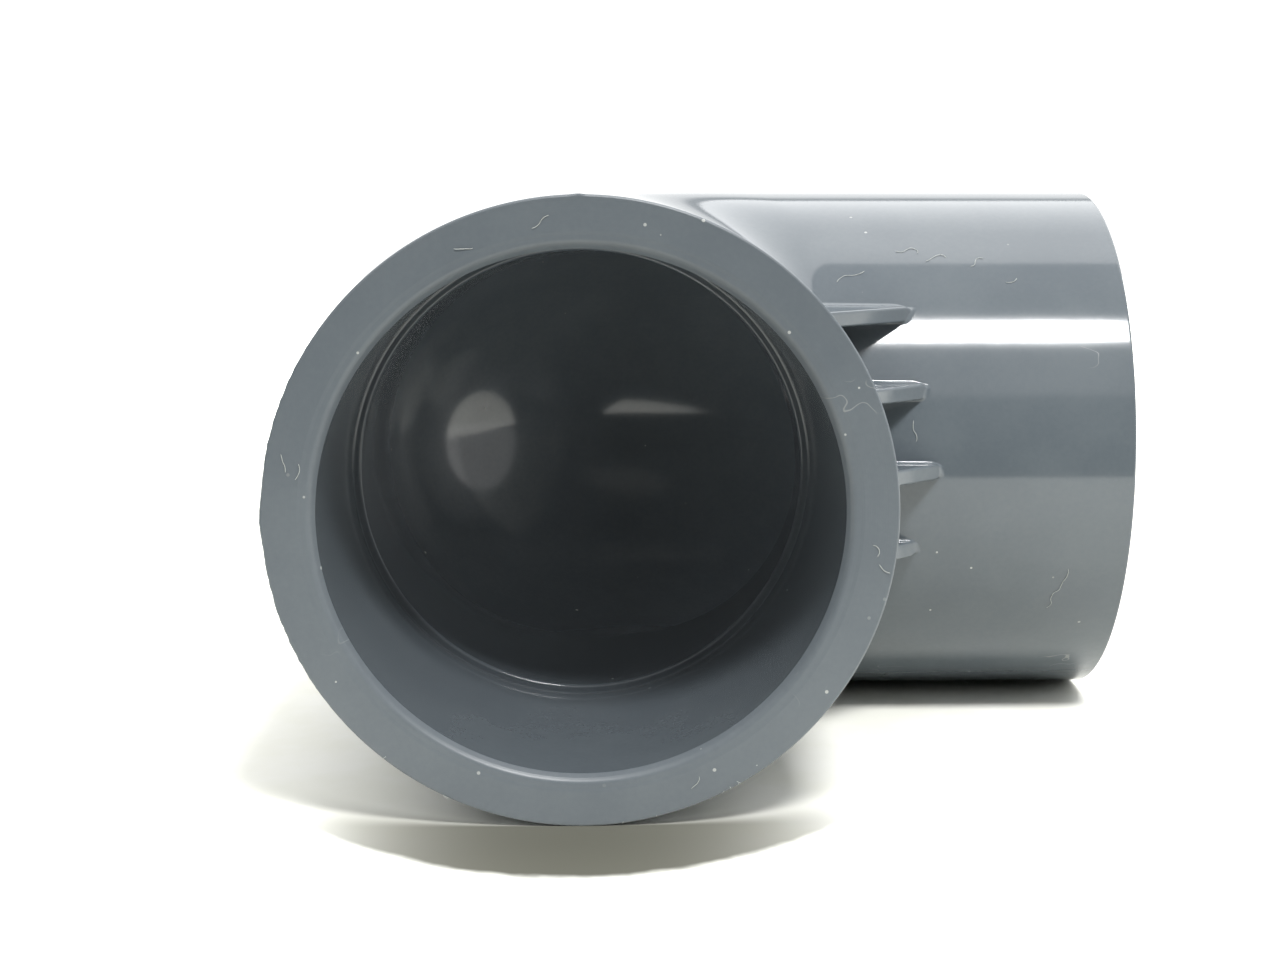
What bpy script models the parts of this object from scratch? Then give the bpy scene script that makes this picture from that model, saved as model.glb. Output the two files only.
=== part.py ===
# 90 degree PVC elbow with two plain solvent-weld sockets and four throat gussets.
# Metres, +Z up. Front socket faces -Y, side socket faces +X.
# The origin is under the middle of the part, on the plane it lies on.
import bpy
import bmesh
import math
from mathutils import Vector

for old in list(bpy.data.objects):
    bpy.data.objects.remove(old)

# Outer hubs: nominal 2 inch heavy-wall fitting
HUB_RADIUS = 0.0365
CENTRE_TO_END = 0.0737
FACE_EDGE_ROUND = 0.0005

# Tapered sockets for pipe of 60.33 mm outside diameter
SOCKET_DEPTH = 0.0381
SOCKET_MOUTH_RADIUS = 0.030315
SOCKET_END_RADIUS = 0.030085
MOUTH_CHAMFER_RADIUS = 0.03075
MOUTH_CHAMFER_DEPTH = 0.0011
MOUTH_LIP_RADIUS = 0.0318
MOUTH_LIP_DEPTH = 0.0003

# Waterway and the ledge the pipe stops against
WATERWAY_RADIUS = 0.0290
STOP_THICKNESS = 0.0017
STOP_OUTER_RADIUS = 0.0327
STOP_EDGE_ROUND = 0.0005

# The bend: the throat turns on a wide radius, the heel and the waterway on a tight one
THROAT_TURN = 0.0336
HEEL_TURN = 0.0074
BLEND_FROM = 48.0
BLEND_TO = 140.0

# Gussets in the throat
# (height above the hub axes, reach along each hub), from the top down
RIBS = ((0.0203, 0.0138), (0.01035, 0.0108), (-0.0001, 0.0114), (-0.0107, 0.0100))
RIB_ROOT_THICKNESS = 0.0026
RIB_NOSE_THICKNESS = 0.0020
RIB_NOSE_ROUND = 0.0004
RIB_BITE = 0.0030

SEAM = 0.0003
AROUND = 72
ARC_PARTS = 12
STRAIGHT_PARTS = 3
ARC_STEPS = 3

# Where the two hub axes cross
AXIS_SHIFT = (CENTRE_TO_END - HUB_RADIUS) / 2
CORNER = Vector((-AXIS_SHIFT, AXIS_SHIFT, HUB_RADIUS))
LEDGE_AT = CENTRE_TO_END - SOCKET_DEPTH
HUB_START = THROAT_TURN + SEAM

PVC_GREY = (0.150, 0.172, 0.188, 1.0)
PVC_FACE_GREY = (0.165, 0.185, 0.198, 1.0)
PVC_BORE_GREY = (0.120, 0.136, 0.150, 1.0)


def front_place(across, up, along):
    """Front arm: along is the distance from the axis crossing towards the mouth."""
    return CORNER + Vector((across, -along, up))


def side_place(across, up, along):
    """Side arm: the mirror image of the front arm in the mitre plane."""
    return CORNER + Vector((along, -across, up))


def finish(bm, name, colour, roughness, helper=False):
    """One named object from a bmesh, with its own material."""
    bmesh.ops.recalc_face_normals(bm, faces=bm.faces)
    mesh = bpy.data.meshes.new(name)
    bm.to_mesh(mesh)
    bm.free()
    for polygon in mesh.polygons:
        polygon.use_smooth = not helper
    if not helper:
        mesh.set_sharp_from_angle(angle=math.radians(28))
    obj = bpy.data.objects.new(name, mesh)
    bpy.context.scene.collection.objects.link(obj)
    if helper:
        obj.hide_render = True
        obj.display_type = "WIRE"
        return obj
    material = bpy.data.materials.new(name)
    material.use_nodes = True
    shader = material.node_tree.nodes["Principled BSDF"]
    shader.inputs["Base Color"].default_value = colour
    shader.inputs["Roughness"].default_value = roughness
    shader.inputs["Metallic"].default_value = 0.0
    material.diffuse_color = colour
    mesh.materials.append(material)
    return obj


def turned(profile, place):
    """Closed ring: the (radius, along) outline taken round the arm's axis."""
    bm = bmesh.new()
    rows = []
    for step in range(AROUND):
        angle = 2 * math.pi * step / AROUND
        row = []
        for radius, along in profile:
            row.append(bm.verts.new(place(radius * math.cos(angle), radius * math.sin(angle), along)))
        rows.append(row)
    count = len(profile)
    for step in range(AROUND):
        here = rows[step]
        after = rows[(step + 1) % AROUND]
        for k in range(count):
            n = (k + 1) % count
            bm.faces.new((here[k], here[n], after[n], after[k]))
    return bm


def rod(place, radius, start, end):
    """Solid cylinder along an arm, used only to cut the gussets to the hub."""
    bm = bmesh.new()
    ends = []
    for along in (start, end):
        loop = []
        for step in range(AROUND):
            angle = 2 * math.pi * step / AROUND
            loop.append(bm.verts.new(place(radius * math.cos(angle), radius * math.sin(angle), along)))
        ends.append(loop)
        bm.faces.new(loop)
    for step in range(AROUND):
        n = (step + 1) % AROUND
        bm.faces.new((ends[0][step], ends[0][n], ends[1][n], ends[1][step]))
    return bm


def bend_path(centre, radius, up):
    """Line round the corner at one height: straight, quarter turn, straight.

    The turn's own centre is the same distance from both axes."""
    spots = []
    for part in range(STRAIGHT_PARTS):
        along = THROAT_TURN + (centre - THROAT_TURN) * part / STRAIGHT_PARTS
        spots.append((centre - radius, -along))
    for part in range(ARC_PARTS + 1):
        turn = math.pi / 2 * part / ARC_PARTS
        spots.append((centre - radius * math.cos(turn), radius * math.sin(turn) - centre))
    for part in range(STRAIGHT_PARTS):
        along = centre + (THROAT_TURN - centre) * (part + 1) / STRAIGHT_PARTS
        spots.append((along, radius - centre))
    return [CORNER + Vector((x, y, up)) for x, y in spots]


def outside_turn(angle):
    """How far the turn's centre is from the axes: wide in the throat, tight at the heel."""
    share = (abs(math.degrees(angle)) - BLEND_FROM) / (BLEND_TO - BLEND_FROM)
    share = min(max(share, 0.0), 1.0)
    share = share * share * (3 - 2 * share)
    return THROAT_TURN + (HEEL_TURN - THROAT_TURN) * share


def outer_path(radius, angle):
    """Line over the outside; in the throat it stops on the turn's centre."""
    out = radius * math.cos(angle)
    centre = outside_turn(angle)
    return bend_path(centre, max(centre - out, 0.0), radius * math.sin(angle))


def inner_path(radius, angle):
    """Line over the waterway; where it is wider than the turn's centre it is a mitre."""
    out = radius * math.cos(angle)
    return bend_path(max(HEEL_TURN, out), max(HEEL_TURN - out, 0.0), radius * math.sin(angle))


def angles_around():
    """Even angles, with the two where the outside meets the throat turn's centre put in."""
    angles = [math.pi * (2 * step / AROUND - 1) for step in range(AROUND)]
    meet = math.acos(THROAT_TURN / HUB_RADIUS)
    for target in (meet, -meet):
        nearest = min(range(AROUND), key=lambda k: abs(angles[k] - target))
        angles[nearest] = target
    return angles


def paths_over(line, radius):
    return [line(radius, angle) for angle in angles_around()]


def skin(bm, paths):
    """Quads between neighbouring lines, once round. Returns the corners at both ends."""
    kept = {}
    grid = []
    for path in paths:
        line = []
        for spot in path:
            key = (round(spot.x, 7), round(spot.y, 7), round(spot.z, 7))
            if key not in kept:
                kept[key] = bm.verts.new(spot)
            line.append(kept[key])
        grid.append(line)
    for here, after in zip(grid, grid[1:] + grid[:1]):
        for k in range(len(here) - 1):
            corners = []
            for vert in (here[k], here[k + 1], after[k + 1], after[k]):
                if vert not in corners:
                    corners.append(vert)
            if len(corners) > 2:
                bm.faces.new(corners)
    return [line[0] for line in grid], [line[-1] for line in grid]


def make_bend():
    """Curved shell between the hubs: its outside less the waterway."""
    bm = bmesh.new()
    outer_ends = skin(bm, paths_over(outer_path, HUB_RADIUS))
    inner_ends = skin(bm, paths_over(inner_path, WATERWAY_RADIUS))
    for outer, inner in zip(outer_ends, inner_ends):
        count = len(outer)
        for k in range(count):
            n = (k + 1) % count
            corners = []
            for vert in (outer[k], outer[n], inner[n], inner[k]):
                if vert not in corners:
                    corners.append(vert)
            if len(corners) > 2:
                bm.faces.new(corners)
    return bm


def end_loop(line):
    """The end corners in order, each once."""
    loop = []
    for vert in line:
        if vert not in loop:
            loop.append(vert)
    return loop


def bend_core(outer):
    """Solid bend, used only to cut the gussets clear of it."""
    bm = bmesh.new()
    first, last = skin(bm, paths_over(outer_path, outer))
    bm.faces.new(end_loop(first))
    bm.faces.new(end_loop(last))
    return bm


def arc(centre_r, centre_along, radius, start, end):
    """Points of a small rounding in the (radius, along) outline, in degrees."""
    points = []
    for step in range(ARC_STEPS + 1):
        angle = math.radians(start + (end - start) * step / ARC_STEPS)
        points.append((centre_r + radius * math.cos(angle), centre_along + radius * math.sin(angle)))
    return points


def socket_outline():
    """Hub wall from the bend to the mouth, with the recess that holds the stop ring."""
    edge = FACE_EDGE_ROUND
    outline = [(HUB_RADIUS, HUB_START)]
    outline += arc(HUB_RADIUS - edge, CENTRE_TO_END - edge, edge, 0, 90)
    outline.append((MOUTH_LIP_RADIUS, CENTRE_TO_END))
    outline.append((MOUTH_CHAMFER_RADIUS, CENTRE_TO_END - MOUTH_LIP_DEPTH))
    outline.append((SOCKET_MOUTH_RADIUS, CENTRE_TO_END - MOUTH_CHAMFER_DEPTH))
    outline.append((SOCKET_END_RADIUS, LEDGE_AT + SEAM))
    outline.append((STOP_OUTER_RADIUS + SEAM, LEDGE_AT + SEAM))
    outline.append((STOP_OUTER_RADIUS + SEAM, HUB_START))
    return outline


def stop_outline():
    """Ledge ring with both edges of its waterway rounded."""
    edge = STOP_EDGE_ROUND
    back = LEDGE_AT - STOP_THICKNESS
    outline = [(STOP_OUTER_RADIUS, back), (STOP_OUTER_RADIUS, LEDGE_AT)]
    outline += arc(WATERWAY_RADIUS + edge, LEDGE_AT - edge, edge, 90, 180)
    outline.append((WATERWAY_RADIUS, back))
    return outline


def mitre_block(name, towards_side):
    """Block whose face is the mitre plane, set back by half a seam."""
    size = 0.03
    half = SEAM / 2
    diagonal = Vector((1.0, 1.0, 0.0)).normalized() * (1 if towards_side else -1)
    along = Vector((1.0, -1.0, 0.0)).normalized()
    middle = CORNER + along * (HUB_RADIUS * math.sqrt(2))
    bm = bmesh.new()
    rows = []
    for depth in (-half, size):
        row = []
        for reach, up in ((-size, -0.05), (size, -0.05), (size, 0.05), (-size, 0.05)):
            row.append(bm.verts.new(middle + diagonal * depth + along * reach + Vector((0, 0, up))))
        rows.append(row)
        bm.faces.new(row)
    for k in range(4):
        n = (k + 1) % 4
        bm.faces.new((rows[0][k], rows[0][n], rows[1][n], rows[1][k]))
    return finish(bm, name, PVC_GREY, 0.4, helper=True)


def cut(obj, cutter):
    modifier = obj.modifiers.new(cutter.name, "BOOLEAN")
    modifier.operation = "DIFFERENCE"
    modifier.solver = "EXACT"
    modifier.object = cutter


def make_rib(name, height, leg, cutters):
    """Flat gusset across the throat: thicker at its root, with a softened nose."""
    wall = math.sqrt(HUB_RADIUS ** 2 - height ** 2)
    nose = (2 * wall + leg) / math.sqrt(2)
    root = (2 * wall - 2 * RIB_BITE) / math.sqrt(2)
    half_nose = RIB_NOSE_THICKNESS / 2
    half_root = RIB_ROOT_THICKNESS / 2
    edge = RIB_NOSE_ROUND
    outline = [(root, -half_root), (root, half_root)]
    for middle, start in ((half_nose - edge, 90), (edge - half_nose, 0)):
        for step in range(ARC_STEPS + 1):
            angle = math.radians(start - 90 * step / ARC_STEPS)
            outline.append((nose - edge + edge * math.cos(angle), middle + edge * math.sin(angle)))
    outwards = Vector((1.0, -1.0, 0.0)).normalized()
    across = Vector((1.0, 1.0, 0.0)).normalized()
    reach = (leg + 2 * RIB_BITE) / math.sqrt(2)
    bm = bmesh.new()
    rows = []
    for side in (-reach, reach):
        row = []
        for out, up in outline:
            spot = CORNER + outwards * out + across * side + Vector((0, 0, height + up))
            row.append(bm.verts.new(spot))
        rows.append(row)
        bm.faces.new(row)
    count = len(outline)
    for k in range(count):
        n = (k + 1) % count
        bm.faces.new((rows[0][k], rows[0][n], rows[1][n], rows[1][k]))
    obj = finish(bm, name, PVC_GREY, 0.36)
    for cutter in cutters:
        cut(obj, cutter)
    return obj


# Sockets, each trimmed at the mitre plane where the two hubs meet in the throat
trims = {"front": mitre_block("front_mitre_trim", True), "side": mitre_block("side_mitre_trim", False)}
for arm, place in (("front", front_place), ("side", side_place)):
    socket = finish(turned(socket_outline(), place), arm + "_socket", PVC_FACE_GREY, 0.38)
    cut(socket, trims[arm])
    finish(turned(stop_outline(), place), arm + "_pipe_stop", PVC_BORE_GREY, 0.34)

finish(make_bend(), "bend_body", PVC_GREY, 0.34)

# Gussets, numbered from the top down
clear = HUB_RADIUS + SEAM
rib_cutters = [
    finish(rod(front_place, clear, 0.0, CENTRE_TO_END), "front_hub_clearance", PVC_GREY, 0.4, helper=True),
    finish(rod(side_place, clear, 0.0, CENTRE_TO_END), "side_hub_clearance", PVC_GREY, 0.4, helper=True),
    finish(bend_core(clear), "bend_clearance", PVC_GREY, 0.4, helper=True),
]
for number, (height, leg) in enumerate(RIBS):
    make_rib("throat_rib_%d" % (number + 1), height, leg, rib_cutters)
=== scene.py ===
import math
import random
import bpy
import numpy as np
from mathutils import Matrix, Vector


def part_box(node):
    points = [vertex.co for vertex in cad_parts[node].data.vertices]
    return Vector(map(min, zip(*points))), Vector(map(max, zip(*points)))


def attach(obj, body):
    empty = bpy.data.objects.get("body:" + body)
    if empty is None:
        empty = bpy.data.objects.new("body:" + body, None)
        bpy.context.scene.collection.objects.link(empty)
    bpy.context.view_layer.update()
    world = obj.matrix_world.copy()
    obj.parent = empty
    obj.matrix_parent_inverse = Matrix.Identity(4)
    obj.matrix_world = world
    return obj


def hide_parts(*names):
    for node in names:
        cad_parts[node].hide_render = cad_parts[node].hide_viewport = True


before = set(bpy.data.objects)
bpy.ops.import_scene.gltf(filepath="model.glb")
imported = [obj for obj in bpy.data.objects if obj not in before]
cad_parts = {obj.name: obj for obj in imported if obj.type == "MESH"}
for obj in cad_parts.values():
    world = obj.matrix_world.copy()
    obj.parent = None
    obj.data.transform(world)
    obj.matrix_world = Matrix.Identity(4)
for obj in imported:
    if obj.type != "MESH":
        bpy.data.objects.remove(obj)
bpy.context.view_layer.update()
print("frame loaded:", len(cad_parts), "nodes")

# Everything below is worked out in millimetres from the point where the two hub axes cross
mm = 0.001
frontLow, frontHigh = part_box("front_socket")
sideLow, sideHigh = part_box("side_socket")
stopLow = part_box("front_pipe_stop")[0]
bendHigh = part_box("bend_body")[1]
crossing = Vector((
    (frontLow.x + frontHigh.x) / 2,
    (sideLow.y + sideHigh.y) / 2,
    (frontLow.z + frontHigh.z) / 2,
))
cadHubRadius = (frontHigh.z - frontLow.z) / 2 / mm
centreToEnd = (crossing.y - frontLow.y) / mm
ledgeAt = (crossing.y - stopLow.y) / mm
bendRadius = (bendHigh.x - crossing.x) / mm

hub = {
    "radius": cadHubRadius - 0.10,  # leaves room for the flash at the rim
    "rimRound": 0.35,
    "aroundSteps": 480,
    "bendSteps": 60,
    "heelTurn": 7.4,      # from the axes to the centre of the heel's outer turn
    "blendFrom": 48.0,    # degrees round from the throat, where the turn starts to ease
    "blendTo": 140.0,
    "arcStep": 14,  # degrees for each facet of a rounding
}


def report(stage):
    print("stage:", stage)


# mesh helpers
def makePiece(name, points, faces, cornerNormals, material):
    # points in millimetres from the crossing; one normal for each face corner
    points = np.asarray(points, float)
    facing = 0.0
    k = 0
    for face in faces[:400]:  # enough to tell which way the faces wind
        a, b, c = points[face[0]], points[face[1]], points[face[2]]
        facing += float(np.dot(np.cross(b - a, c - a), cornerNormals[k]))
        k += len(face)
    if facing < 0:
        turned = []
        normals = []
        k = 0
        for face in faces:
            turned.append(tuple(reversed(face)))
            normals.extend(reversed(cornerNormals[k:k + len(face)]))
            k += len(face)
        faces, cornerNormals = turned, normals
    mesh = bpy.data.meshes.new(name)
    mesh.from_pydata([tuple(crossing + Vector(p) * mm) for p in points], [], faces)
    mesh.validate(clean_customdata=False)
    mesh.polygons.foreach_set("use_smooth", [True] * len(mesh.polygons))
    mesh.materials.append(material)
    mesh.normals_split_custom_set([tuple(n) for n in cornerNormals])
    piece = bpy.data.objects.new(name, mesh)
    bpy.context.scene.collection.objects.link(piece)
    return piece


def roundedOutline(corners):
    # corners: (radius from axis, distance along axis, rounding), in order round a closed outline
    # gives segments (p0, p1, n0, n1) whose normals turn smoothly through each rounding
    count = len(corners)
    points = [np.array(c[:2], float) for c in corners]
    arcs = []
    for k in range(count):
        before = points[k] - points[k - 1]
        after = points[(k + 1) % count] - points[k]
        before = before / np.linalg.norm(before)
        after = after / np.linalg.norm(after)
        cross = before[0] * after[1] - before[1] * after[0]
        turn = math.atan2(cross, float(np.dot(before, after)))
        n0 = np.array((before[1], -before[0]))
        n1 = np.array((after[1], -after[0]))
        rounding = corners[k][2]
        if rounding <= 0:
            arcs.append([(points[k], n0), (points[k], n1)])
            continue
        reach = rounding * abs(math.tan(turn / 2))
        start = points[k] - before * reach
        side = 1 if turn > 0 else -1
        centre = start - n0 * rounding * side
        steps = max(2, int(abs(math.degrees(turn)) / hub["arcStep"]))
        arc = []
        for s in range(steps + 1):
            angle = turn * s / steps
            ca, sa = math.cos(angle), math.sin(angle)
            n = np.array((n0[0] * ca - n0[1] * sa, n0[0] * sa + n0[1] * ca))
            arc.append((centre + n * rounding * side, n))
        arcs.append(arc)
    segments = []
    for k in range(count):
        arc = arcs[k]
        for (p0, n0), (p1, n1) in zip(arc, arc[1:]):
            if np.linalg.norm(p1 - p0) > 1e-9:
                segments.append((p0, p1, n0, n1))
        (p0, n0), (p1, n1) = arc[-1], arcs[(k + 1) % count][0]
        segments.append((p0, p1, n0, n1))
    return segments


def armPoints(arm, across, up, along):
    # the side arm is the front arm mirrored in the mitre plane
    if arm == "front":
        return np.stack((across, -along, up), -1)
    return np.stack((along, -across, up), -1)


def latheArm(arm, corners, adjust=None):
    # takes a closed outline round the arm's axis; angle 0 points into the throat
    steps = hub["aroundSteps"]
    angles = np.arange(steps) * 2 * math.pi / steps
    segments = roundedOutline(corners)
    rows = []
    for p0, p1, n0, n1 in segments:
        radius = np.full(steps, p0[0])
        along = np.full(steps, p0[1])
        if adjust:
            radius, along = adjust(radius, along, angles)
        rows.append(armPoints(arm, radius * np.cos(angles), radius * np.sin(angles), along))
    points = np.concatenate(rows)
    faces = []
    normals = []
    count = len(segments)
    turned = (np.cos(angles), np.sin(angles))
    for k, (p0, p1, n0, n1) in enumerate(segments):
        n = (k + 1) % count
        low = armPoints(arm, n0[0] * turned[0], n0[0] * turned[1], np.full(steps, n0[1]))
        high = armPoints(arm, n1[0] * turned[0], n1[0] * turned[1], np.full(steps, n1[1]))
        for s in range(steps):
            t = (s + 1) % steps
            faces.append((k * steps + s, n * steps + s, n * steps + t, k * steps + t))
            normals.extend((low[s], high[s], high[t], low[t]))
    return points, faces, normals


# sockets and pipe stops
socket = {
    "mouthRadius": 30.315,
    "endRadius": 30.085,
    "chamferRadius": 30.72,
    "chamferDepth": 0.52,
    "boreStartDepth": 1.05,
    "lipRadius": 31.95,
    "lipDrop": 0.10,
    "ringRecess": 32.85,
    "lipRound": 0.35,
    "chamferRound": 0.42,
    "wornLength": 2.5,
    "cutDepth": 1.2,                 # how deep the cut finish goes
    "flashHeight": 0.24,             # parting flash at the rim, level with the axis
    "flashWidth": 3.2,               # degrees
    "topFlash": (0.5, 90.5, 1.1),    # share of the height, degrees round, width in degrees
    "nickHeight": 0.07,
    "nickWaves": ((0.9, 0.3), (1.7, 1.9), (3.1, 0.7), (0.41, 2.2)),  # rate and phase
    "nickPlaces": ((1.0, 197, 17), (0.8, 160, 12)),                  # strength, degrees round, width
}


def bell(degrees, middle, width):
    return np.exp(-((degrees - middle) / width) ** 2)


def rimWear(radius, along, angles):
    # ragged flash on the outer edge of the rim, and the hub's inner end trimmed to the mitre
    atStart = (np.abs(along - bendRadius) < 1e-6) & (radius > hub["radius"] - 1e-6)
    along = np.where(atStart, np.maximum(along, radius * np.cos(angles)), along)
    worn = socket["wornLength"]
    nearRim = np.clip((along - (centreToEnd - worn)) / worn, 0, 1) ** 2
    outer = radius > hub["radius"] - hub["rimRound"] - 0.01
    degrees = np.degrees(angles)
    share, topAt, topWidth = socket["topFlash"]
    bump = socket["flashHeight"] * bell(degrees, 180, socket["flashWidth"])
    top = share * socket["flashHeight"] * bell(degrees, topAt, topWidth)
    ragged = np.zeros_like(degrees)
    for rate, phase in socket["nickWaves"]:
        ragged += np.maximum(np.sin(degrees * rate + phase), 0) ** 3
    window = np.zeros_like(degrees)
    for strength, middle, width in socket["nickPlaces"]:
        window += strength * bell(degrees, middle, width)
    nicks = socket["nickHeight"] * ragged * window
    return radius + np.where(outer, nearRim * (bump + top + nicks), 0), along


def socketCorners():
    # hub, worn rim, raised lip, chamfer and tapered bore: (radius, distance from the crossing, rounding)
    end = centreToEnd
    return [
        (hub["radius"], bendRadius, 0),
        (hub["radius"], end - socket["wornLength"], 0),
        (hub["radius"], end, hub["rimRound"]),
        (socket["lipRadius"] + socket["lipRound"], end, 0.8),
        (socket["lipRadius"], end - socket["lipDrop"] * 0.55, 0.5),
        (socket["chamferRadius"] + socket["chamferRound"], end - socket["lipDrop"] * 1.1, 0.9),
        (socket["chamferRadius"], end - socket["chamferDepth"], 0.07),
        (socket["mouthRadius"] + 0.02, end - socket["boreStartDepth"], 0.07),
        (socket["endRadius"], ledgeAt, 0),
        (socket["ringRecess"], ledgeAt, 0),
        (socket["ringRecess"], bendRadius, 0),
    ]


def stopCorners():
    water = waterway["radius"]
    return [
        (socket["ringRecess"], bendRadius, 0),
        (socket["ringRecess"], ledgeAt, 0),
        (socket["endRadius"] + 0.02, ledgeAt + 0.004, 0),
        (socket["endRadius"] - 0.16, ledgeAt - 0.05, 0.15),
        (water, ledgeAt - 0.05, 0.42),
        (water, bendRadius, 0),
    ]


# bend and waterway
waterway = {
    "radius": 29.0,
    "aroundSteps": 288,
    "straightSteps": 2,
}


def outsideTurn(angle):
    # how far the outer turn's centre is from the axes, and how fast that changes with the angle
    low, high = math.radians(hub["blendFrom"]), math.radians(hub["blendTo"])
    share = min(max((abs(angle) - low) / (high - low), 0.0), 1.0)
    span = hub["heelTurn"] - bendRadius
    turn = bendRadius + span * share * share * (3 - 2 * share)
    rate = span * 6 * share * (1 - share) / (high - low)
    return turn, math.copysign(rate, angle)


def bendLine(centre, radius, up, rate, angle):
    # straight, quarter turn, straight: each point with its outward normal
    line = []
    straight = waterway["straightSteps"]
    for step in range(straight):
        along = bendRadius + (centre - bendRadius) * step / straight
        line.append(((centre - radius, -along, up), (math.cos(angle), 0.0, math.sin(angle))))
    for step in range(hub["bendSteps"] + 1):
        turn = math.pi / 2 * step / hub["bendSteps"]
        c, s = math.cos(turn), math.sin(turn)
        normal = Vector((math.cos(angle) * c, -math.cos(angle) * s, math.sin(angle) + rate * (1 - s - c)))
        line.append(((centre - radius * c, radius * s - centre, up), tuple(normal.normalized())))
    for step in range(straight):
        along = centre + (bendRadius - centre) * (step + 1) / straight
        line.append(((along, radius - centre, up), (0.0, -math.cos(angle), math.sin(angle))))
    return line


def bendShell():
    # outside with its turn eased from throat to heel, and a waterway mitred in the throat
    outer = hub["radius"]
    water = waterway["radius"]
    count = waterway["aroundSteps"]
    angles = [math.pi * (2 * k / count - 1) for k in range(count)]
    for target in (math.acos(bendRadius / outer), math.acos(hub["heelTurn"] / water)):
        for sign in (1, -1):
            nearest = min(range(count), key=lambda k: abs(angles[k] - sign * target))
            angles[nearest] = sign * target
    outside = []
    inside = []
    for angle in angles:
        out, up = outer * math.cos(angle), outer * math.sin(angle)
        centre, rate = outsideTurn(angle)
        outside.append(bendLine(centre, max(centre - out, 0.0), up, rate / outer, angle))
        out, up = water * math.cos(angle), water * math.sin(angle)
        centre = max(hub["heelTurn"], out)
        inside.append(bendLine(centre, max(hub["heelTurn"] - out, 0.0), up, 0.0, angle))
    points = []
    index = {}
    faces = []
    normals = []

    def add(spot):
        key = tuple(round(v, 5) for v in spot)
        if key not in index:
            index[key] = len(points)
            points.append(spot)
        return index[key]

    def addFace(loop):
        kept = []
        for spot, normal in loop:
            vertex = add(spot)
            if vertex not in [item[0] for item in kept]:
                kept.append((vertex, normal))
        if len(kept) > 2:
            faces.append(tuple(item[0] for item in kept))
            normals.extend(item[1] for item in kept)

    for lines, sign in ((outside, 1), (inside, -1)):
        for k in range(count):
            here, after = lines[k], lines[(k + 1) % count]
            for s in range(len(here) - 1):
                loop = [here[s], here[s + 1], after[s + 1], after[s]]
                loop = [(spot, tuple(sign * v for v in normal)) for spot, normal in loop]
                addFace(loop if sign > 0 else loop[::-1])
    for end, flat in ((0, (0.0, -1.0, 0.0)), (-1, (1.0, 0.0, 0.0))):
        for k in range(count):
            n = (k + 1) % count
            loop = [outside[k][end], outside[n][end], inside[n][end], inside[k][end]]
            loop = [(spot, flat) for spot, normal in loop]
            addFace(loop[::-1] if end else loop)
    return points, faces, normals


# gussets in the throat
gusset = {
    "noseHalf": 1.03,
    "rootHalf": 1.25,
    "rootDepth": 12.0,
    "tipHalf": 0.62,
    "tipLength": 1.3,
    "tipSpare": 2.0,      # room past the tip, so that the feathered end closes
    "edgeRound": 0.28,
    "rootFillet": 0.40,
    "throatFillet": 1.2,
    "gridStep": 0.20,
    "sink": 0.006,        # the fillets start this far under the hub's skin
    "skirt": 0.2,         # how far a fillet's feathered edge runs past it
    "under": 0.5,         # thickness kept under the skin
    "rootReach": 3.0,     # margins of the box that is meshed round a gusset
    "heightSpare": 0.8,
    "relaxSteps": 6,
}
mitre = {
    "gridStep": 0.30,
    "reachSpare": 0.1,
    "boxSpare": 2.2,
    "boxHalfHeight": 18.0,
}
gussetHeights = []
gussetLegs = []
for number in range(4):
    low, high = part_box("throat_rib_%d" % (number + 1))
    height = ((low.z + high.z) / 2 - crossing.z) / mm
    gussetHeights.append(height)
    gussetLegs.append((high.x - crossing.x) / mm - math.sqrt(hub["radius"] ** 2 - height ** 2))


def throatWall(x, y, z):
    # distance outside the hubs and the bend on the throat side, with the mitre's own fillet
    radius = hub["radius"]
    wall = np.sqrt(np.maximum(radius * radius - z * z, 1.0))
    u = x - wall
    v = -y - wall
    corner = np.maximum(bendRadius - wall, gusset["throatFillet"])
    inArc = (u < corner) & (v < corner)
    level = np.where(inArc, corner - np.hypot(corner - u, corner - v), np.minimum(u, v))
    return level * wall / radius + gusset["sink"]


def finDistance(number, x, y, z):
    height = gussetHeights[number]
    leg = gussetLegs[number]
    wall = math.sqrt(hub["radius"] ** 2 - height ** 2)
    out = (x - y) / math.sqrt(2)
    across = np.abs(x + y) / math.sqrt(2)
    nose = (2 * wall + leg) / math.sqrt(2)
    toTip = leg / math.sqrt(2) - across
    thin = np.clip(1 - toTip / gusset["tipLength"], 0, 1) ** 2
    half = gusset["noseHalf"] + (gusset["tipHalf"] - gusset["noseHalf"]) * thin
    nearRoot = np.clip((nose - out) / gusset["rootDepth"], 0, 1)
    half = half + (gusset["rootHalf"] - gusset["noseHalf"]) * nearRoot
    edge = gusset["edgeRound"]
    p = out - (nose - edge)
    q = np.abs(z - height) - (half - edge)
    return np.hypot(np.maximum(p, 0), np.maximum(q, 0)) + np.minimum(np.maximum(p, q), 0) - edge


def filletUnion(a, b, radius):
    # joins two solids with a round fillet between them
    blend = np.hypot(np.maximum(radius - a, 0), np.maximum(radius - b, 0))
    return np.maximum(radius, np.minimum(a, b)) - blend


def gussetField(number):
    def field(x, y, z):
        wall = throatWall(x, y, z)
        fin = finDistance(number, x, y, z)
        joined = filletUnion(wall, fin, gusset["rootFillet"])
        skirt = fin - gusset["rootFillet"] - gusset["skirt"]
        return np.maximum(np.maximum(joined, skirt), -wall - gusset["under"])
    return field


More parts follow.
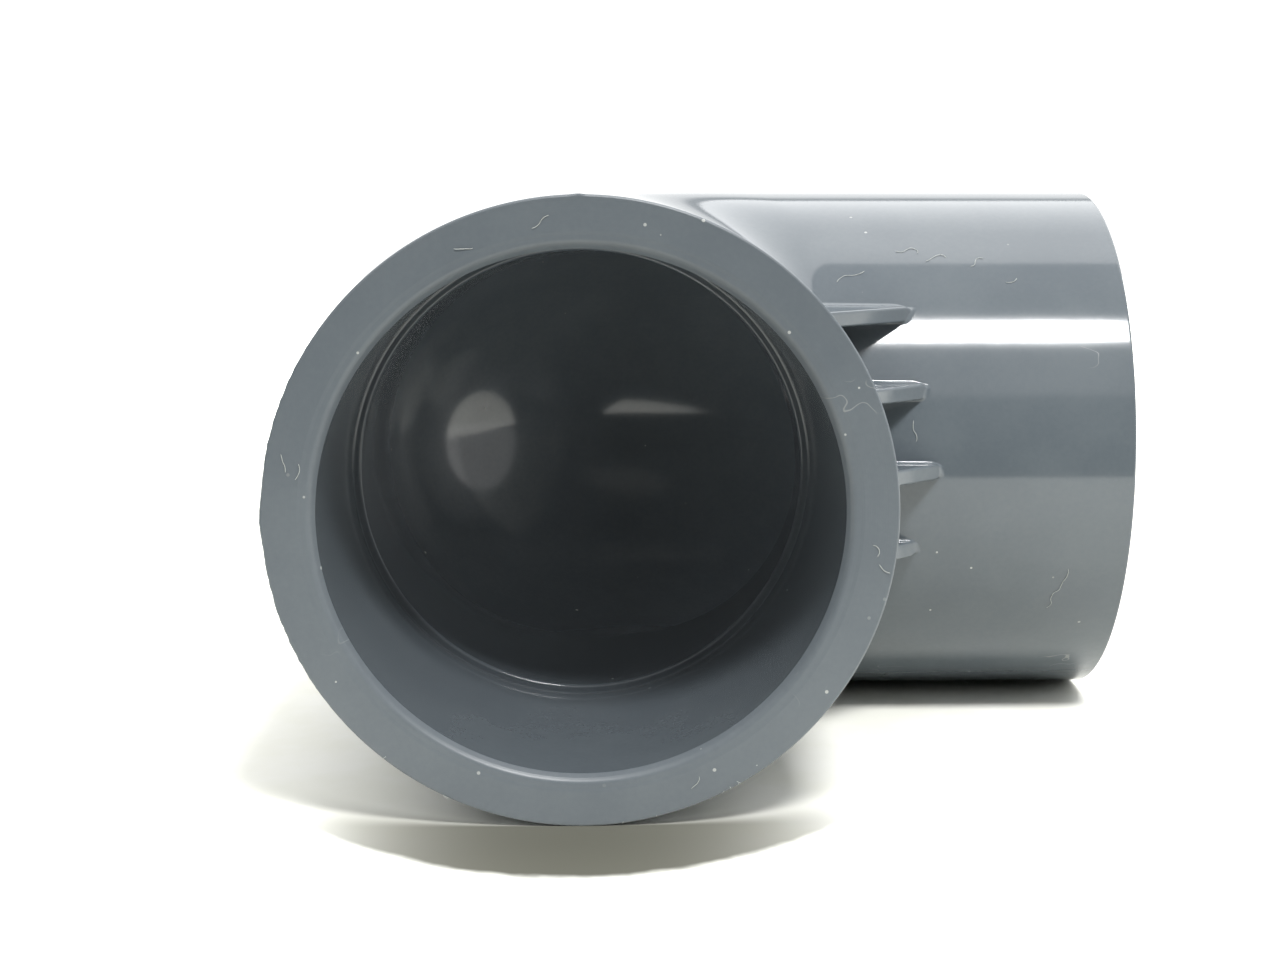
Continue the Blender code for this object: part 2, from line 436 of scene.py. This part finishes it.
def mitreField(x, y, z):
    wall = throatWall(x, y, z)
    radius = hub["radius"]
    side = np.sqrt(np.maximum(radius * radius - z * z, 1.0))
    reach = gusset["throatFillet"] + mitre["reachSpare"]
    span = math.sqrt(radius ** 2 - (bendRadius - gusset["throatFillet"]) ** 2)
    limit = np.maximum(x - side - reach, -y - side - reach)
    limit = np.maximum(limit, np.abs(z) - span)
    return np.maximum(np.maximum(wall, limit), -wall - gusset["under"])


def settleCorners(value):
    # where inside and outside meet only across a square's diagonals, the square is filled in
    for _ in range(gusset["relaxSteps"]):
        for p, q in ((0, 1), (0, 2), (1, 2)):
            views = []
            for dp, dq in ((0, 0), (1, 1), (1, 0), (0, 1)):
                take = [slice(None)] * 3
                take[p] = slice(dp, value.shape[p] - 1 + dp)
                take[q] = slice(dq, value.shape[q] - 1 + dq)
                views.append(value[tuple(take)])
            a, d, b, c = [view < 0 for view in views]
            mixed = (a == d) & (b == c) & (a != b)
            views[0][mixed & ~a] = -1e-4
            views[2][mixed & a] = -1e-4
    return value


def surfaceNet(field, low, high, step):
    # a quad mesh of the surface where the field is zero, pulled exactly onto it
    axes = [np.arange(low[k], high[k] + step, step) for k in range(3)]
    grid = np.stack(np.meshgrid(*axes, indexing="ij"), -1)
    value = settleCorners(field(grid[..., 0], grid[..., 1], grid[..., 2]))
    shape = np.array(value.shape)
    total = np.zeros(tuple(shape - 1) + (3,))
    hits = np.zeros(tuple(shape - 1))
    crossings = []
    for axis in range(3):
        first = [slice(None)] * 3
        second = [slice(None)] * 3
        first[axis] = slice(0, -1)
        second[axis] = slice(1, None)
        a, b = value[tuple(first)], value[tuple(second)]
        cross = (a < 0) != (b < 0)
        share = np.where(cross, a / np.where(cross, a - b, 1), 0)
        spot = grid[tuple(first)].copy()
        spot[..., axis] += share * step
        crossings.append((cross, a < 0))
        p, q = [k for k in range(3) if k != axis]
        for dp in (0, 1):
            for dq in (0, 1):
                take = [slice(None)] * 3
                take[p] = slice(dp, shape[p] - 1 + dp)
                take[q] = slice(dq, shape[q] - 1 + dq)
                total += spot[tuple(take)] * cross[tuple(take)][..., None]
                hits += cross[tuple(take)]
    used = hits > 0
    index = np.full(used.shape, -1)
    index[used] = np.arange(used.sum())
    points = total[used] / hits[used][:, None]
    quads = []
    for axis in range(3):
        cross, below = crossings[axis]
        p, q = [(axis + 1) % 3, (axis + 2) % 3]
        where = np.argwhere(cross)
        keep = (where[:, p] > 0) & (where[:, p] < shape[p] - 1)
        keep = keep & (where[:, q] > 0) & (where[:, q] < shape[q] - 1)
        where = where[keep]
        flags = below[tuple(where.T)]
        cells = []
        for dp, dq in ((-1, -1), (0, -1), (0, 0), (-1, 0)):
            cell = where.copy()
            cell[:, p] += dp
            cell[:, q] += dq
            cells.append(index[tuple(cell.T)])
        quad = np.stack(cells, -1)
        quad[~flags] = quad[~flags][:, ::-1]
        quads.append(quad)
    quads = np.concatenate(quads)
    nudge = 0.01  # millimetres either side, for the field's slope

    def slope(at):
        result = []
        for axis in range(3):
            ahead = at.copy()
            behind = at.copy()
            ahead[:, axis] += nudge
            behind[:, axis] -= nudge
            result.append((field(*ahead.T) - field(*behind.T)) / (2 * nudge))
        return np.stack(result, -1)

    for _ in range(gusset["relaxSteps"]):
        gradient = slope(points)
        size = np.maximum((gradient ** 2).sum(1), 0.05)
        move = gradient * (field(*points.T) / size)[:, None]
        length = np.maximum(np.linalg.norm(move, axis=1), 1e-12)
        points = points - move * np.minimum(1, 0.4 * step / length)[:, None]
    gradient = slope(points)
    normals = gradient / np.maximum(np.linalg.norm(gradient, axis=1), 1e-9)[:, None]
    faces = [tuple(int(i) for i in quad) for quad in quads]
    return points, faces, normals[quads.reshape(-1)]


def joinMeshes(parts):
    points = []
    faces = []
    normals = []
    offset = 0
    for p, f, n in parts:
        points.extend(np.asarray(p))
        faces.extend(tuple(i + offset for i in face) for face in f)
        normals.extend(np.asarray(n))
        offset += len(p)
    return points, faces, normals


# PVC finishes
plastic = {
    "dark": (0.088, 0.104, 0.118, 1),
    "light": (0.104, 0.121, 0.134, 1),
    "dust": (0.42, 0.43, 0.41, 1),
    "moulded": {"roughness": 0.10, "spread": 0.02, "bump": 0.035, "specks": 0.955, "scuffs": 0.35},
    "cutFace": {"roughness": 0.43, "spread": 0.08, "bump": 0.25, "specks": 0.89, "scuffs": 0.35},
    "bore": {"roughness": 0.11, "spread": 0.02, "bump": 0.0, "specks": 0.982, "scuffs": 0.0},
    "borePaintedGlow": 0.0045,    # painted glow: a faint emission that lightens the dark bore, standing in for light scattered inside it
    "refraction": 1.53,
    "mottle": (70.0, 3.0, 0.6),      # scale, detail, roughness of each noise
    "grain": (1400.0, 2.0, 0.6),
    "haze": (120.0, 4.0, 0.65),
    "peel": (420.0, 3.0, 0.55),
    "fleckScale": 620.0,
    "fleckSize": 0.13,
    "fleckPatches": (55.0, 2.0),
    "scuffWander": (260.0, 1.0),
    "scuffPatches": (65.0, 1.0),
    "markTone": 0.8,
    "markRoughness": 0.35,
    "markHeight": 0.6,
    "ringScale": 5200.0,
    "ringHeight": 0.5,
    "reliefDepth": 0.00006,
}


def addNode(tree, kind, settings=None, **inputs):
    # an input is named by its socket, with _ for a space, or by its number as i0, i1, i2
    made = tree.nodes.new(kind)
    for key, value in (settings or {}).items():
        setattr(made, key, value)
    for key, value in inputs.items():
        socketName = key.replace("_", " ")
        numbered = key[0] == "i" and key[1:].isdigit()
        target = made.inputs[int(key[1:]) if numbered else socketName]
        if isinstance(value, bpy.types.NodeSocket):
            tree.links.new(value, target)
        else:
            target.default_value = value
    return made


def maths(tree, operation, a, b=0.0, c=0.0):
    return addNode(tree, "ShaderNodeMath", {"operation": operation}, i0=a, i1=b, i2=c).outputs[0]


def ramp(tree, value, low, high):
    made = addNode(tree, "ShaderNodeMapRange", {"interpolation_type": "SMOOTHSTEP"})
    tree.links.new(value, made.inputs["Value"])
    made.inputs["From Min"].default_value = low
    made.inputs["From Max"].default_value = high
    return made.outputs["Result"]


def noise(tree, vector, scale, detail=2.0, rough=0.5):
    sizes = {"Scale": scale, "Detail": detail, "Roughness": rough}
    return addNode(tree, "ShaderNodeTexNoise", None, Vector=vector, **sizes).outputs["Fac"]


def square(tree, value):
    return maths(tree, "MULTIPLY", value, value)


def pvcFinish(name, look, toolMarks=None):
    material = bpy.data.materials.new(name)
    material.use_nodes = True
    tree = material.node_tree
    shader = tree.nodes["Principled BSDF"]
    spot = addNode(tree, "ShaderNodeTexCoord").outputs["Object"]
    mottle = noise(tree, spot, *plastic["mottle"])
    grain = noise(tree, spot, *plastic["grain"])
    blend = maths(tree, "ADD", maths(tree, "MULTIPLY", mottle, 0.7), maths(tree, "MULTIPLY", grain, 0.3))
    body = addNode(tree, "ShaderNodeMix", {"data_type": "RGBA"})
    tree.links.new(ramp(tree, blend, 0.3, 0.7), body.inputs["Factor"])
    body.inputs["A"].default_value = plastic["dark"]
    body.inputs["B"].default_value = plastic["light"]
    # pale flecks of swarf and dust
    cells = addNode(tree, "ShaderNodeTexVoronoi", None, Vector=spot, Scale=plastic["fleckScale"])
    chance = addNode(tree, "ShaderNodeSeparateColor", None, Color=cells.outputs["Color"])
    near = maths(tree, "LESS_THAN", cells.outputs["Distance"], plastic["fleckSize"])
    rare = maths(tree, "GREATER_THAN", chance.outputs[0], look["specks"])
    patchy = ramp(tree, noise(tree, spot, *plastic["fleckPatches"]), 0.42, 0.62)
    flecks = maths(tree, "MULTIPLY", maths(tree, "MULTIPLY", near, rare), patchy)
    # thin curled scuffs: level lines of a noise, shown in a few patches only
    wander = noise(tree, spot, *plastic["scuffWander"])
    line = ramp(tree, maths(tree, "ABSOLUTE", maths(tree, "SUBTRACT", wander, 0.5)), 0.008, 0.002)
    patch = ramp(tree, noise(tree, spot, *plastic["scuffPatches"]), 0.70, 0.74)
    scuffs = maths(tree, "MULTIPLY", maths(tree, "MULTIPLY", line, patch), look["scuffs"])
    marks = maths(tree, "MAXIMUM", flecks, scuffs)
    final = addNode(tree, "ShaderNodeMix", {"data_type": "RGBA"})
    tree.links.new(maths(tree, "MULTIPLY", marks, plastic["markTone"]), final.inputs["Factor"])
    tree.links.new(body.outputs["Result"], final.inputs["A"])
    final.inputs["B"].default_value = plastic["dust"]
    tree.links.new(final.outputs["Result"], shader.inputs["Base Color"])
    hazy = noise(tree, spot, *plastic["haze"])
    rough = maths(tree, "MULTIPLY_ADD", hazy, look["spread"] * 2, look["roughness"] - look["spread"])
    rough = maths(tree, "ADD", rough, maths(tree, "MULTIPLY", marks, plastic["markRoughness"]))
    tree.links.new(rough, shader.inputs["Roughness"])
    shader.inputs["IOR"].default_value = plastic["refraction"]
    # orange peel and, on cut faces, rings left by the tool
    peel = noise(tree, spot, *plastic["peel"])
    relief = maths(tree, "ADD", peel, maths(tree, "MULTIPLY", marks, plastic["markHeight"]))
    if toolMarks:
        axis, centre = toolMarks
        split = addNode(tree, "ShaderNodeSeparateXYZ", None, Vector=spot)
        across = maths(tree, "SUBTRACT", split.outputs[axis], centre)
        up = maths(tree, "SUBTRACT", split.outputs[2], crossing.z)
        squares = maths(tree, "ADD", square(tree, across), square(tree, up))
        distance = maths(tree, "SQRT", squares)
        oneWay = {"noise_dimensions": "1D"}
        scale = plastic["ringScale"]
        rings = addNode(tree, "ShaderNodeTexNoise", oneWay, W=distance, Scale=scale, Detail=3.0)
        rings = maths(tree, "MULTIPLY", rings.outputs["Fac"], plastic["ringHeight"])
        relief = maths(tree, "ADD", relief, rings)
    depth = plastic["reliefDepth"]
    bump = addNode(tree, "ShaderNodeBump", None, Height=relief, Strength=look["bump"], Distance=depth)
    tree.links.new(bump.outputs["Normal"], shader.inputs["Normal"])
    return material


moulded = pvcFinish("moulded_pvc", plastic["moulded"])
bore = pvcFinish("bore_pvc", plastic["bore"])
boreShader = bore.node_tree.nodes["Principled BSDF"]
# painted light: the bore's finish glows faintly to brighten its dark inside; it is no lamp
boreShader.inputs["Emission Color"].default_value = (1.0, 1.0, 1.02, 1)
boreShader.inputs["Emission Strength"].default_value = plastic["borePaintedGlow"]
cutFaces = {
    "front": pvcFinish("front_face_pvc", plastic["cutFace"], (0, crossing.x)),
    "side": pvcFinish("side_face_pvc", plastic["cutFace"], (1, crossing.y)),
}
report("finishes")


def place(piece, node):
    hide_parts(node)
    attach(piece, "root")


for arm in ("front", "side"):
    piece = makePiece(arm + "_socket_wall", *latheArm(arm, socketCorners(), rimWear), moulded)
    piece.data.materials.append(cutFaces[arm])
    piece.data.materials.append(bore)
    axis = 1 if arm == "front" else 0
    mouth = crossing[axis] + (centreToEnd if axis == 0 else -centreToEnd) * mm
    for polygon in piece.data.polygons:
        depth = abs(polygon.center[axis] - mouth) / mm
        away = polygon.center - crossing
        away[axis] = 0
        if depth < socket["cutDepth"] and away.length / mm < hub["radius"] - 0.12:
            polygon.material_index = 1  # cut face
        elif away.length / mm < socket["mouthRadius"] + 0.3:
            polygon.material_index = 2  # bore
    place(piece, arm + "_socket")
    piece = makePiece(arm + "_stop_ledge", *latheArm(arm, stopCorners()), bore)
    place(piece, arm + "_pipe_stop")
report("sockets and pipe stops")

far = hub["radius"] + mitre["boxSpare"]
close = bendRadius - mitre["boxSpare"]
tall = mitre["boxHalfHeight"]
throatFillet = surfaceNet(mitreField, (close, -far, -tall), (far, -close, tall), mitre["gridStep"])
bend = makePiece("bend_shell", *joinMeshes([bendShell(), throatFillet]), moulded)
bend.data.materials.append(bore)
for polygon in bend.data.polygons:
    spot = (polygon.center - crossing) / mm
    heel = hub["heelTurn"]
    if spot.x < heel and spot.y > -heel:
        offset = heel - math.hypot(spot.x - heel, spot.y + heel)
    else:
        offset = min(spot.x, -spot.y)
    if math.hypot(offset, spot.z) < waterway["radius"] + 0.02:
        polygon.material_index = 1  # waterway
place(bend, "bend_body")
report("bend and waterway")

for number, height in enumerate(gussetHeights):
    wall = math.sqrt(hub["radius"] ** 2 - height ** 2)
    leg = gussetLegs[number]
    deep = gusset["rootReach"]
    spare = gusset["rootHalf"] + gusset["rootFillet"] + gusset["heightSpare"]
    low = (wall - deep, -wall - leg - gusset["tipSpare"], height - spare)
    high = (wall + leg + gusset["tipSpare"], -wall + deep, height + spare)
    net = surfaceNet(gussetField(number), low, high, gusset["gridStep"])
    piece = makePiece("throat_gusset_%d" % (number + 1), *net, moulded)
    place(piece, "throat_rib_%d" % (number + 1))
report("gussets")

# loose curls of swarf and short burrs, a few millimetres each
swarf = {
    "radius": 0.036,
    "tone": (0.42, 0.44, 0.42, 1),
    "roughness": 0.5,
    "sides": 6,
    "step": 0.16,
    "lift": 0.10,      # how far a curl rises off the surface
    "wander": 0.5,     # random change of the turn rate at each step
    "tightness": 2.2,
}
# surface, where, length, turn rate, start heading in degrees, seed
# where: distance along the side hub and degrees up, or across and up on the front face
curls = [
    ("side", (34.6, 42.0), 4.5, 0.18, 70, 43),
    ("side", (46.0, 50.5), 4.0, 0.35, 60, 5),
    ("side", (47.0, 48.0), 3.6, 0.30, 25, 8),
    ("side", (53.0, 46.5), 3.0, 0.50, 10, 13),
    ("side", (57.5, 42.0), 1.8, 0.30, -20, 2),
    ("side", (43.9, 10.5), 3.0, 0.20, -95, 21),
    ("side", (63.5, -33.0), 7.5, 0.20, 35, 34),
    ("face", (-33.9, 7.4), 2.2, 0.10, -75, 71),
    ("face", (-32.4, 4.4), 2.0, 0.12, 50, 64),
    ("face", (-5.5, 32.6), 2.4, 0.12, 15, 17),
    ("face", (-14.2, 30.4), 2.2, 0.40, -20, 26),
    ("face", (33.2, -3.4), 1.8, 0.30, -10, 31),
    ("face", (34.0, -5.6), 1.6, 0.12, -60, 37),
    ("face", (12.5, -32.0), 1.8, 0.40, 40, 41),
]


def tube(path, radius, sides):
    # closed thin tube with pointed ends
    points = [tuple(path[0])]
    rings = []
    for k in range(1, len(path) - 1):
        ahead = (path[k + 1] - path[k - 1]).normalized()
        first = ahead.orthogonal().normalized()
        second = ahead.cross(first)
        ring = []
        for s in range(sides):
            angle = 2 * math.pi * s / sides
            ring.append(len(points))
            points.append(tuple(path[k] + (first * math.cos(angle) + second * math.sin(angle)) * radius))
        rings.append(ring)
    last = len(points)
    points.append(tuple(path[-1]))
    faces = []
    for s in range(sides):
        n = (s + 1) % sides
        faces.append((0, rings[0][n], rings[0][s]))
        faces.append((last, rings[-1][s], rings[-1][n]))
    for here, after in zip(rings, rings[1:]):
        best = min(range(sides), key=lambda k: (Vector(points[after[k]]) - Vector(points[here[0]])).length)
        after[:] = after[best:] + after[:best]
        for s in range(sides):
            n = (s + 1) % sides
            faces.append((here[s], here[n], after[n], after[s]))
    return points, faces


def onSurface(kind, a, b, lift):
    if kind == "face":
        return Vector((a, -centreToEnd - lift, b))
    radius = hub["radius"] + lift
    return Vector((a, -radius * math.cos(b / hub["radius"]), radius * math.sin(b / hub["radius"])))


swarfFinish = bpy.data.materials.new("swarf_pvc")
swarfFinish.use_nodes = True
swarfFinish.node_tree.nodes["Principled BSDF"].inputs["Base Color"].default_value = swarf["tone"]
swarfFinish.node_tree.nodes["Principled BSDF"].inputs["Roughness"].default_value = swarf["roughness"]


def addThread(name, path):
    points, faces = tube(path, swarf["radius"], swarf["sides"])
    mesh = bpy.data.meshes.new(name)
    mesh.from_pydata([tuple(crossing + Vector(p) * mm) for p in points], [], faces)
    mesh.polygons.foreach_set("use_smooth", [True] * len(mesh.polygons))
    mesh.materials.append(swarfFinish)
    thread = bpy.data.objects.new(name, mesh)
    bpy.context.scene.collection.objects.link(thread)
    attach(thread, "root")


for number, (kind, (a, b), length, rate, heading, seed) in enumerate(curls):
    draw = random.Random(seed)
    if kind == "side":
        b = math.radians(b) * hub["radius"]
    angle = math.radians(heading)
    turning = rate
    most = 1.6 * rate + 0.2
    path = []
    for k in range(int(length / swarf["step"]) + 2):
        lift = swarf["lift"] * abs(math.sin(k * 0.21 + seed))
        path.append(onSurface(kind, a, b, swarf["radius"] + lift))
        a += math.cos(angle) * swarf["step"]
        b += math.sin(angle) * swarf["step"]
        turning += draw.uniform(-swarf["wander"], swarf["wander"])
        turning = max(-most, min(most, turning))
        angle += turning * swarf["step"] * swarf["tightness"]
    addThread("swarf_curl_%d" % (number + 1), path)

# short burrs standing out from the lower edge of the front rim
burr = {
    "count": 9,
    "seed": 77,
    "spread": (-42, 46),     # degrees either side of the lowest point
    "inset": 0.15,
    "lean": 0.9,
    "length": (0.6, 1.5),
    "curl": 0.25,
    "segments": 6,
}
draw = random.Random(burr["seed"])
for number in range(burr["count"]):
    turn = math.radians(-90 + draw.uniform(*burr["spread"]))
    across, up = hub["radius"] * math.cos(turn), hub["radius"] * math.sin(turn)
    start = Vector((across, -centreToEnd + burr["inset"], up))
    lean = Vector((draw.uniform(-burr["lean"], burr["lean"]), -0.8, 0.25))
    length = draw.uniform(*burr["length"])
    path = []
    for k in range(burr["segments"] + 1):
        share = k / burr["segments"]
        rise = Vector((0, 0, burr["curl"] * share * share))
        path.append(start + lean.normalized() * length * share + rise)
    addThread("rim_burr_%d" % (number + 1), path)
report("swarf")

# floor, light and camera
studio = {
    "floorTone": (0.90, 0.90, 0.85, 1),
    "floorMottle": (0.87, 0.87, 0.80, 1),
    "floorNoise": (60.0, 4.0, 0.6),
    "floorHalfWidth": 1.2,
    "floorFront": -0.215,    # the paper ends between the fitting and the camera
    "floorBack": 1.4,
    "floorGlow": 0.9,        # keeps the far paper as white as the backdrop
    "glowFrom": 0.16,
    "glowTo": 0.45,
    # painted pool of shade before the front face, which only camera rays see
    "shadeTone": (0.117, 0.117, 0.096),
    "shadeFade": (0.15, 0.50),
    "shadeReach": 0.0178,
    "shadeHalfWidth": 0.0305,
    "shadeShift": -0.0009,
    "shadeEdge": (-0.06, 0.07),
    "shadeBehind": (0.05, 0.80),
    "shadeRagged": 0.10,
    # light from each part of the sky; bands are sines of elevation
    "skyBack": 1.5,
    "backBand": (-0.05, 0.42),
    "skyMid": 0.45,
    "midBand": (0.42, 0.93),
    "skyTop": 1.0,
    "topBand": (0.93, 1.5),
    "skyFront": 0.90,
    "skySide": 1.05,
    "sideBand": (-0.06, 0.60),
    "sideEdge": (0.78, 0.88),
    "bandEdge": 0.04,
    "skySeen": 1.25,         # the white backdrop that the camera sees
    "topLight": 2.4,
    "topSize": (1.9, 1.0),
    "topAcross": -0.15,
    "topBack": 0.505,
    "topHeight": 0.62,
    "keyLight": 89.0,
    "keyWidth": 0.22,
    "keyHeight": 0.145,
    "keyElevation": 54.8,
    "keyFar": 0.85,
    "keyAim": (0.189, -0.02, 0.02),
    "haloLight": 2.2,        # spill round the key
    "haloGrow": (1.15, 1.65),
    "haloBack": 1.02,
    "lens": 57.36,
    "camera": (-0.2, -302.7, 37.1),  # millimetres from the crossing
    "yaw": 1.70,
    "pitch": -8.16,
}


def flatStage(name, corners, material):
    mesh = bpy.data.meshes.new(name)
    mesh.from_pydata(corners, [], [tuple(range(len(corners)))])
    mesh.materials.append(material)
    made = bpy.data.objects.new(name, mesh)
    bpy.context.scene.collection.objects.link(made)


paper = bpy.data.materials.new("floor_paper")
paper.use_nodes = True
tree = paper.node_tree
paperShader = tree.nodes["Principled BSDF"]
paperPlace = addNode(tree, "ShaderNodeTexCoord").outputs["Object"]
paperTone = addNode(tree, "ShaderNodeMix", {"data_type": "RGBA"})
paperCloud = ramp(tree, noise(tree, paperPlace, *studio["floorNoise"]), 0.35, 0.65)
tree.links.new(paperCloud, paperTone.inputs["Factor"])
paperTone.inputs["A"].default_value = studio["floorTone"]
paperTone.inputs["B"].default_value = studio["floorMottle"]
# the pool of shade is a parabola forward of the front face, fading to its sides and just behind the face
split = addNode(tree, "ShaderNodeSeparateXYZ", None, Vector=paperPlace)
faceAt = crossing.y - centreToEnd * mm
aside = maths(tree, "SUBTRACT", split.outputs[0], crossing.x + studio["shadeShift"])
aside = square(tree, maths(tree, "DIVIDE", aside, studio["shadeHalfWidth"]))
forward = maths(tree, "DIVIDE", maths(tree, "SUBTRACT", faceAt, split.outputs[1]), studio["shadeReach"])
ragged = studio["shadeRagged"]
wobble = maths(tree, "MULTIPLY_ADD", noise(tree, paperPlace, 240.0, 2.0), ragged, -ragged / 2)
inside = maths(tree, "SUBTRACT", maths(tree, "SUBTRACT", 1.0, aside), maths(tree, "ADD", forward, wobble))
atFace, atSides = studio["shadeBehind"]
behindFace = maths(tree, "DIVIDE", forward, maths(tree, "MULTIPLY_ADD", aside, atSides, atFace))
pool = maths(tree, "MULTIPLY", ramp(tree, inside, *studio["shadeEdge"]), ramp(tree, behindFace, -1.0, 0.0))
seenHere = addNode(tree, "ShaderNodeLightPath").outputs["Is Camera Ray"]
slow, fast = studio["shadeFade"]
fading = maths(tree, "MULTIPLY", aside, maths(tree, "MULTIPLY_ADD", aside, fast, slow))
pool = maths(tree, "MULTIPLY", maths(tree, "MULTIPLY", pool, seenHere), maths(tree, "SUBTRACT", 1.0, fading))
shaded = addNode(tree, "ShaderNodeMix", {"data_type": "RGBA"})
tree.links.new(pool, shaded.inputs["Factor"])
tree.links.new(paperTone.outputs["Result"], shaded.inputs["A"])
shaded.inputs["B"].default_value = (*studio["shadeTone"], 1)
tree.links.new(shaded.outputs["Result"], paperShader.inputs["Base Color"])
away = addNode(tree, "ShaderNodeVectorMath", {"operation": "DISTANCE"}, i0=paperPlace, i1=(0.0, 0.0, 0.0))
glow = ramp(tree, away.outputs["Value"], studio["glowFrom"], studio["glowTo"])
tree.links.new(maths(tree, "MULTIPLY", glow, studio["floorGlow"]), paperShader.inputs["Emission Strength"])
paperShader.inputs["Emission Color"].default_value = (1, 1, 1, 1)
paperShader.inputs["Roughness"].default_value = 0.8
paperShader.inputs["Specular IOR Level"].default_value = 0.1
floorLevel = crossing.z - hub["radius"] * mm
front = crossing.y + studio["floorFront"]
back = studio["floorBack"]
wide = studio["floorHalfWidth"]
edges = [(-wide, front), (wide, front), (wide, back), (-wide, back)]
flatStage("floor", [(x, y, floorLevel) for x, y in edges], paper)


def areaLight(name, size, sizeY, radiance, location, target):
    data = bpy.data.lights.new(name, "AREA")
    data.shape = "RECTANGLE"
    data.size = size
    data.size_y = sizeY
    data.energy = radiance * size * sizeY * math.pi
    light = bpy.data.objects.new(name, data)
    bpy.context.scene.collection.objects.link(light)
    light.location = location
    light.rotation_mode = "QUATERNION"
    light.rotation_quaternion = (Vector(target) - Vector(location)).to_track_quat("-Z", "Y")
    light.visible_camera = False


# wide soft light overhead and behind, its near edge just past the zenith
topHeight = crossing.z + studio["topHeight"]
topBack = crossing.y + studio["topBack"]
topSpot = (studio["topAcross"], topBack, topHeight)
topTarget = (studio["topAcross"], topBack, 0)
areaLight("top_softbox", *studio["topSize"], studio["topLight"], topSpot, topTarget)
# strong key above and in front, seen as the bright band along the side hub
keyTarget = Vector([crossing[k] + studio["keyAim"][k] for k in range(3)])
keyUp = math.radians(studio["keyElevation"])
keySpot = keyTarget + Vector((0, -math.cos(keyUp), math.sin(keyUp))) * studio["keyFar"]
areaLight("key_light", studio["keyWidth"], studio["keyHeight"], studio["keyLight"], keySpot, keyTarget)
haloSpot = keyTarget + (keySpot - keyTarget) * studio["haloBack"]
haloWidth = studio["keyWidth"] * studio["haloGrow"][0]
haloHeight = studio["keyHeight"] * studio["haloGrow"][1]
areaLight("key_halo", haloWidth, haloHeight, studio["haloLight"], haloSpot, keyTarget)

world = bpy.data.worlds.new("studio")
bpy.context.scene.world = world
world.use_nodes = True
tree = world.node_tree
background = tree.nodes["Background"]
skyPlace = addNode(tree, "ShaderNodeTexCoord").outputs["Generated"]
direction = addNode(tree, "ShaderNodeSeparateXYZ", None, Vector=skyPlace)


def heightBand(name, within=None):
    # 1 between the sines of the lowest and highest elevation, and 0 outside them
    low, high = studio[name]
    edge = studio["bandEdge"]
    above = ramp(tree, direction.outputs["Z"], low - edge, low + edge)
    below = ramp(tree, direction.outputs["Z"], high + edge, high - edge)
    band = maths(tree, "MULTIPLY", above, below)
    return maths(tree, "MULTIPLY", within, band) if within else band


behind = ramp(tree, direction.outputs["Y"], -0.05, 0.05)
ahead = maths(tree, "SUBTRACT", 1.0, behind)
toSide = ramp(tree, direction.outputs["X"], *studio["sideEdge"])
level = maths(tree, "MULTIPLY", heightBand("backBand", behind), studio["skyBack"])
level = maths(tree, "MULTIPLY_ADD", heightBand("midBand", behind), studio["skyMid"], level)
sideLevel = maths(tree, "MULTIPLY", heightBand("sideBand", toSide), studio["skySide"])
level = maths(tree, "MAXIMUM", level, sideLevel)
level = maths(tree, "MULTIPLY_ADD", heightBand("midBand", ahead), studio["skyFront"], level)
level = maths(tree, "MULTIPLY_ADD", heightBand("topBand"), studio["skyTop"], level)
seen = addNode(tree, "ShaderNodeLightPath").outputs["Is Camera Ray"]
strength = maths(tree, "MAXIMUM", level, maths(tree, "MULTIPLY", seen, studio["skySeen"]))
tree.links.new(strength, background.inputs["Strength"])
background.inputs["Color"].default_value = (1.0, 1.0, 0.995, 1)

cameraData = bpy.data.cameras.new("camera")
camera = bpy.data.objects.new("camera", cameraData)
bpy.context.scene.collection.objects.link(camera)
bpy.context.scene.camera = camera
cameraData.sensor_width = 36.0
cameraData.lens = studio["lens"]
cameraData.clip_start = 0.01
camera.location = crossing + Vector(studio["camera"]) * mm
camera.rotation_euler = (math.radians(90 + studio["pitch"]), 0.0, math.radians(-studio["yaw"]))
bpy.context.scene.view_settings.view_transform = "Standard"
report("studio")
